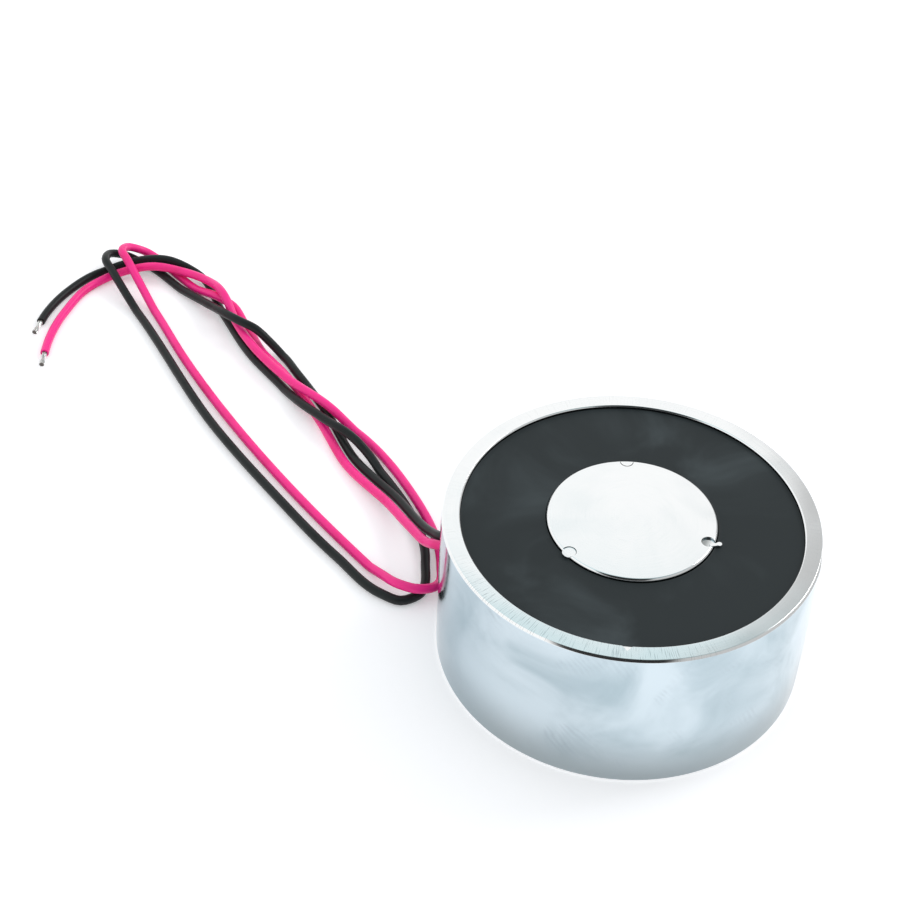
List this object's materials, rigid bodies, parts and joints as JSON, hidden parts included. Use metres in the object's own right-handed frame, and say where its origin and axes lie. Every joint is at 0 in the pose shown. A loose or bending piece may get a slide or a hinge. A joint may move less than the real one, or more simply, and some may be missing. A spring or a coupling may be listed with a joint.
{
  "type": "potted round holding electromagnet",
  "caption": "Round holding electromagnet: steel cup and centre pole, potted coil, threaded back and flying leads.",
  "frame": {"origin": "middle of the back face, which stands on the table", "axes": "+Z out of the holding face, -X out of the side hole along the leads' exit"},
  "size_m": [0.175, 0.0967, 0.03],
  "materials": {
    "ground_steel": "ground and thinly plated",
    "potting_resin": "matt, turned flat",
    "bobbin_nylon": "moulded",
    "enamelled_copper": "enamelled wire",
    "coil_tape": "film tape",
    "sleeve_black": "shrunk sleeve",
    "solder": "bright solder",
    "tinned_copper": "tinned strands",
    "bush_rubber": "matt",
    "black_insulation": "satin",
    "red_insulation": "satin"
  },
  "bodies": {
    "root": {"magnet_body": "ground_steel", "potting": "potting_resin", "coil_bobbin": "bobbin_nylon", "coil_winding": "enamelled_copper", "coil_wrap": "coil_tape", "joint_pad": "coil_tape", "joint_tape": "coil_tape", "sleeve_black": "sleeve_black", "sleeve_red": "sleeve_black", "solder_black": "solder", "solder_red": "solder", "lead_core_black": "tinned_copper", "lead_core_red": "tinned_copper", "lead_bush": "bush_rubber", "lead_black": "black_insulation", "lead_red": "red_insulation", "lead_tip_black": "tinned_copper", "lead_tip_red": "tinned_copper"}
  },
  "joints": []
}
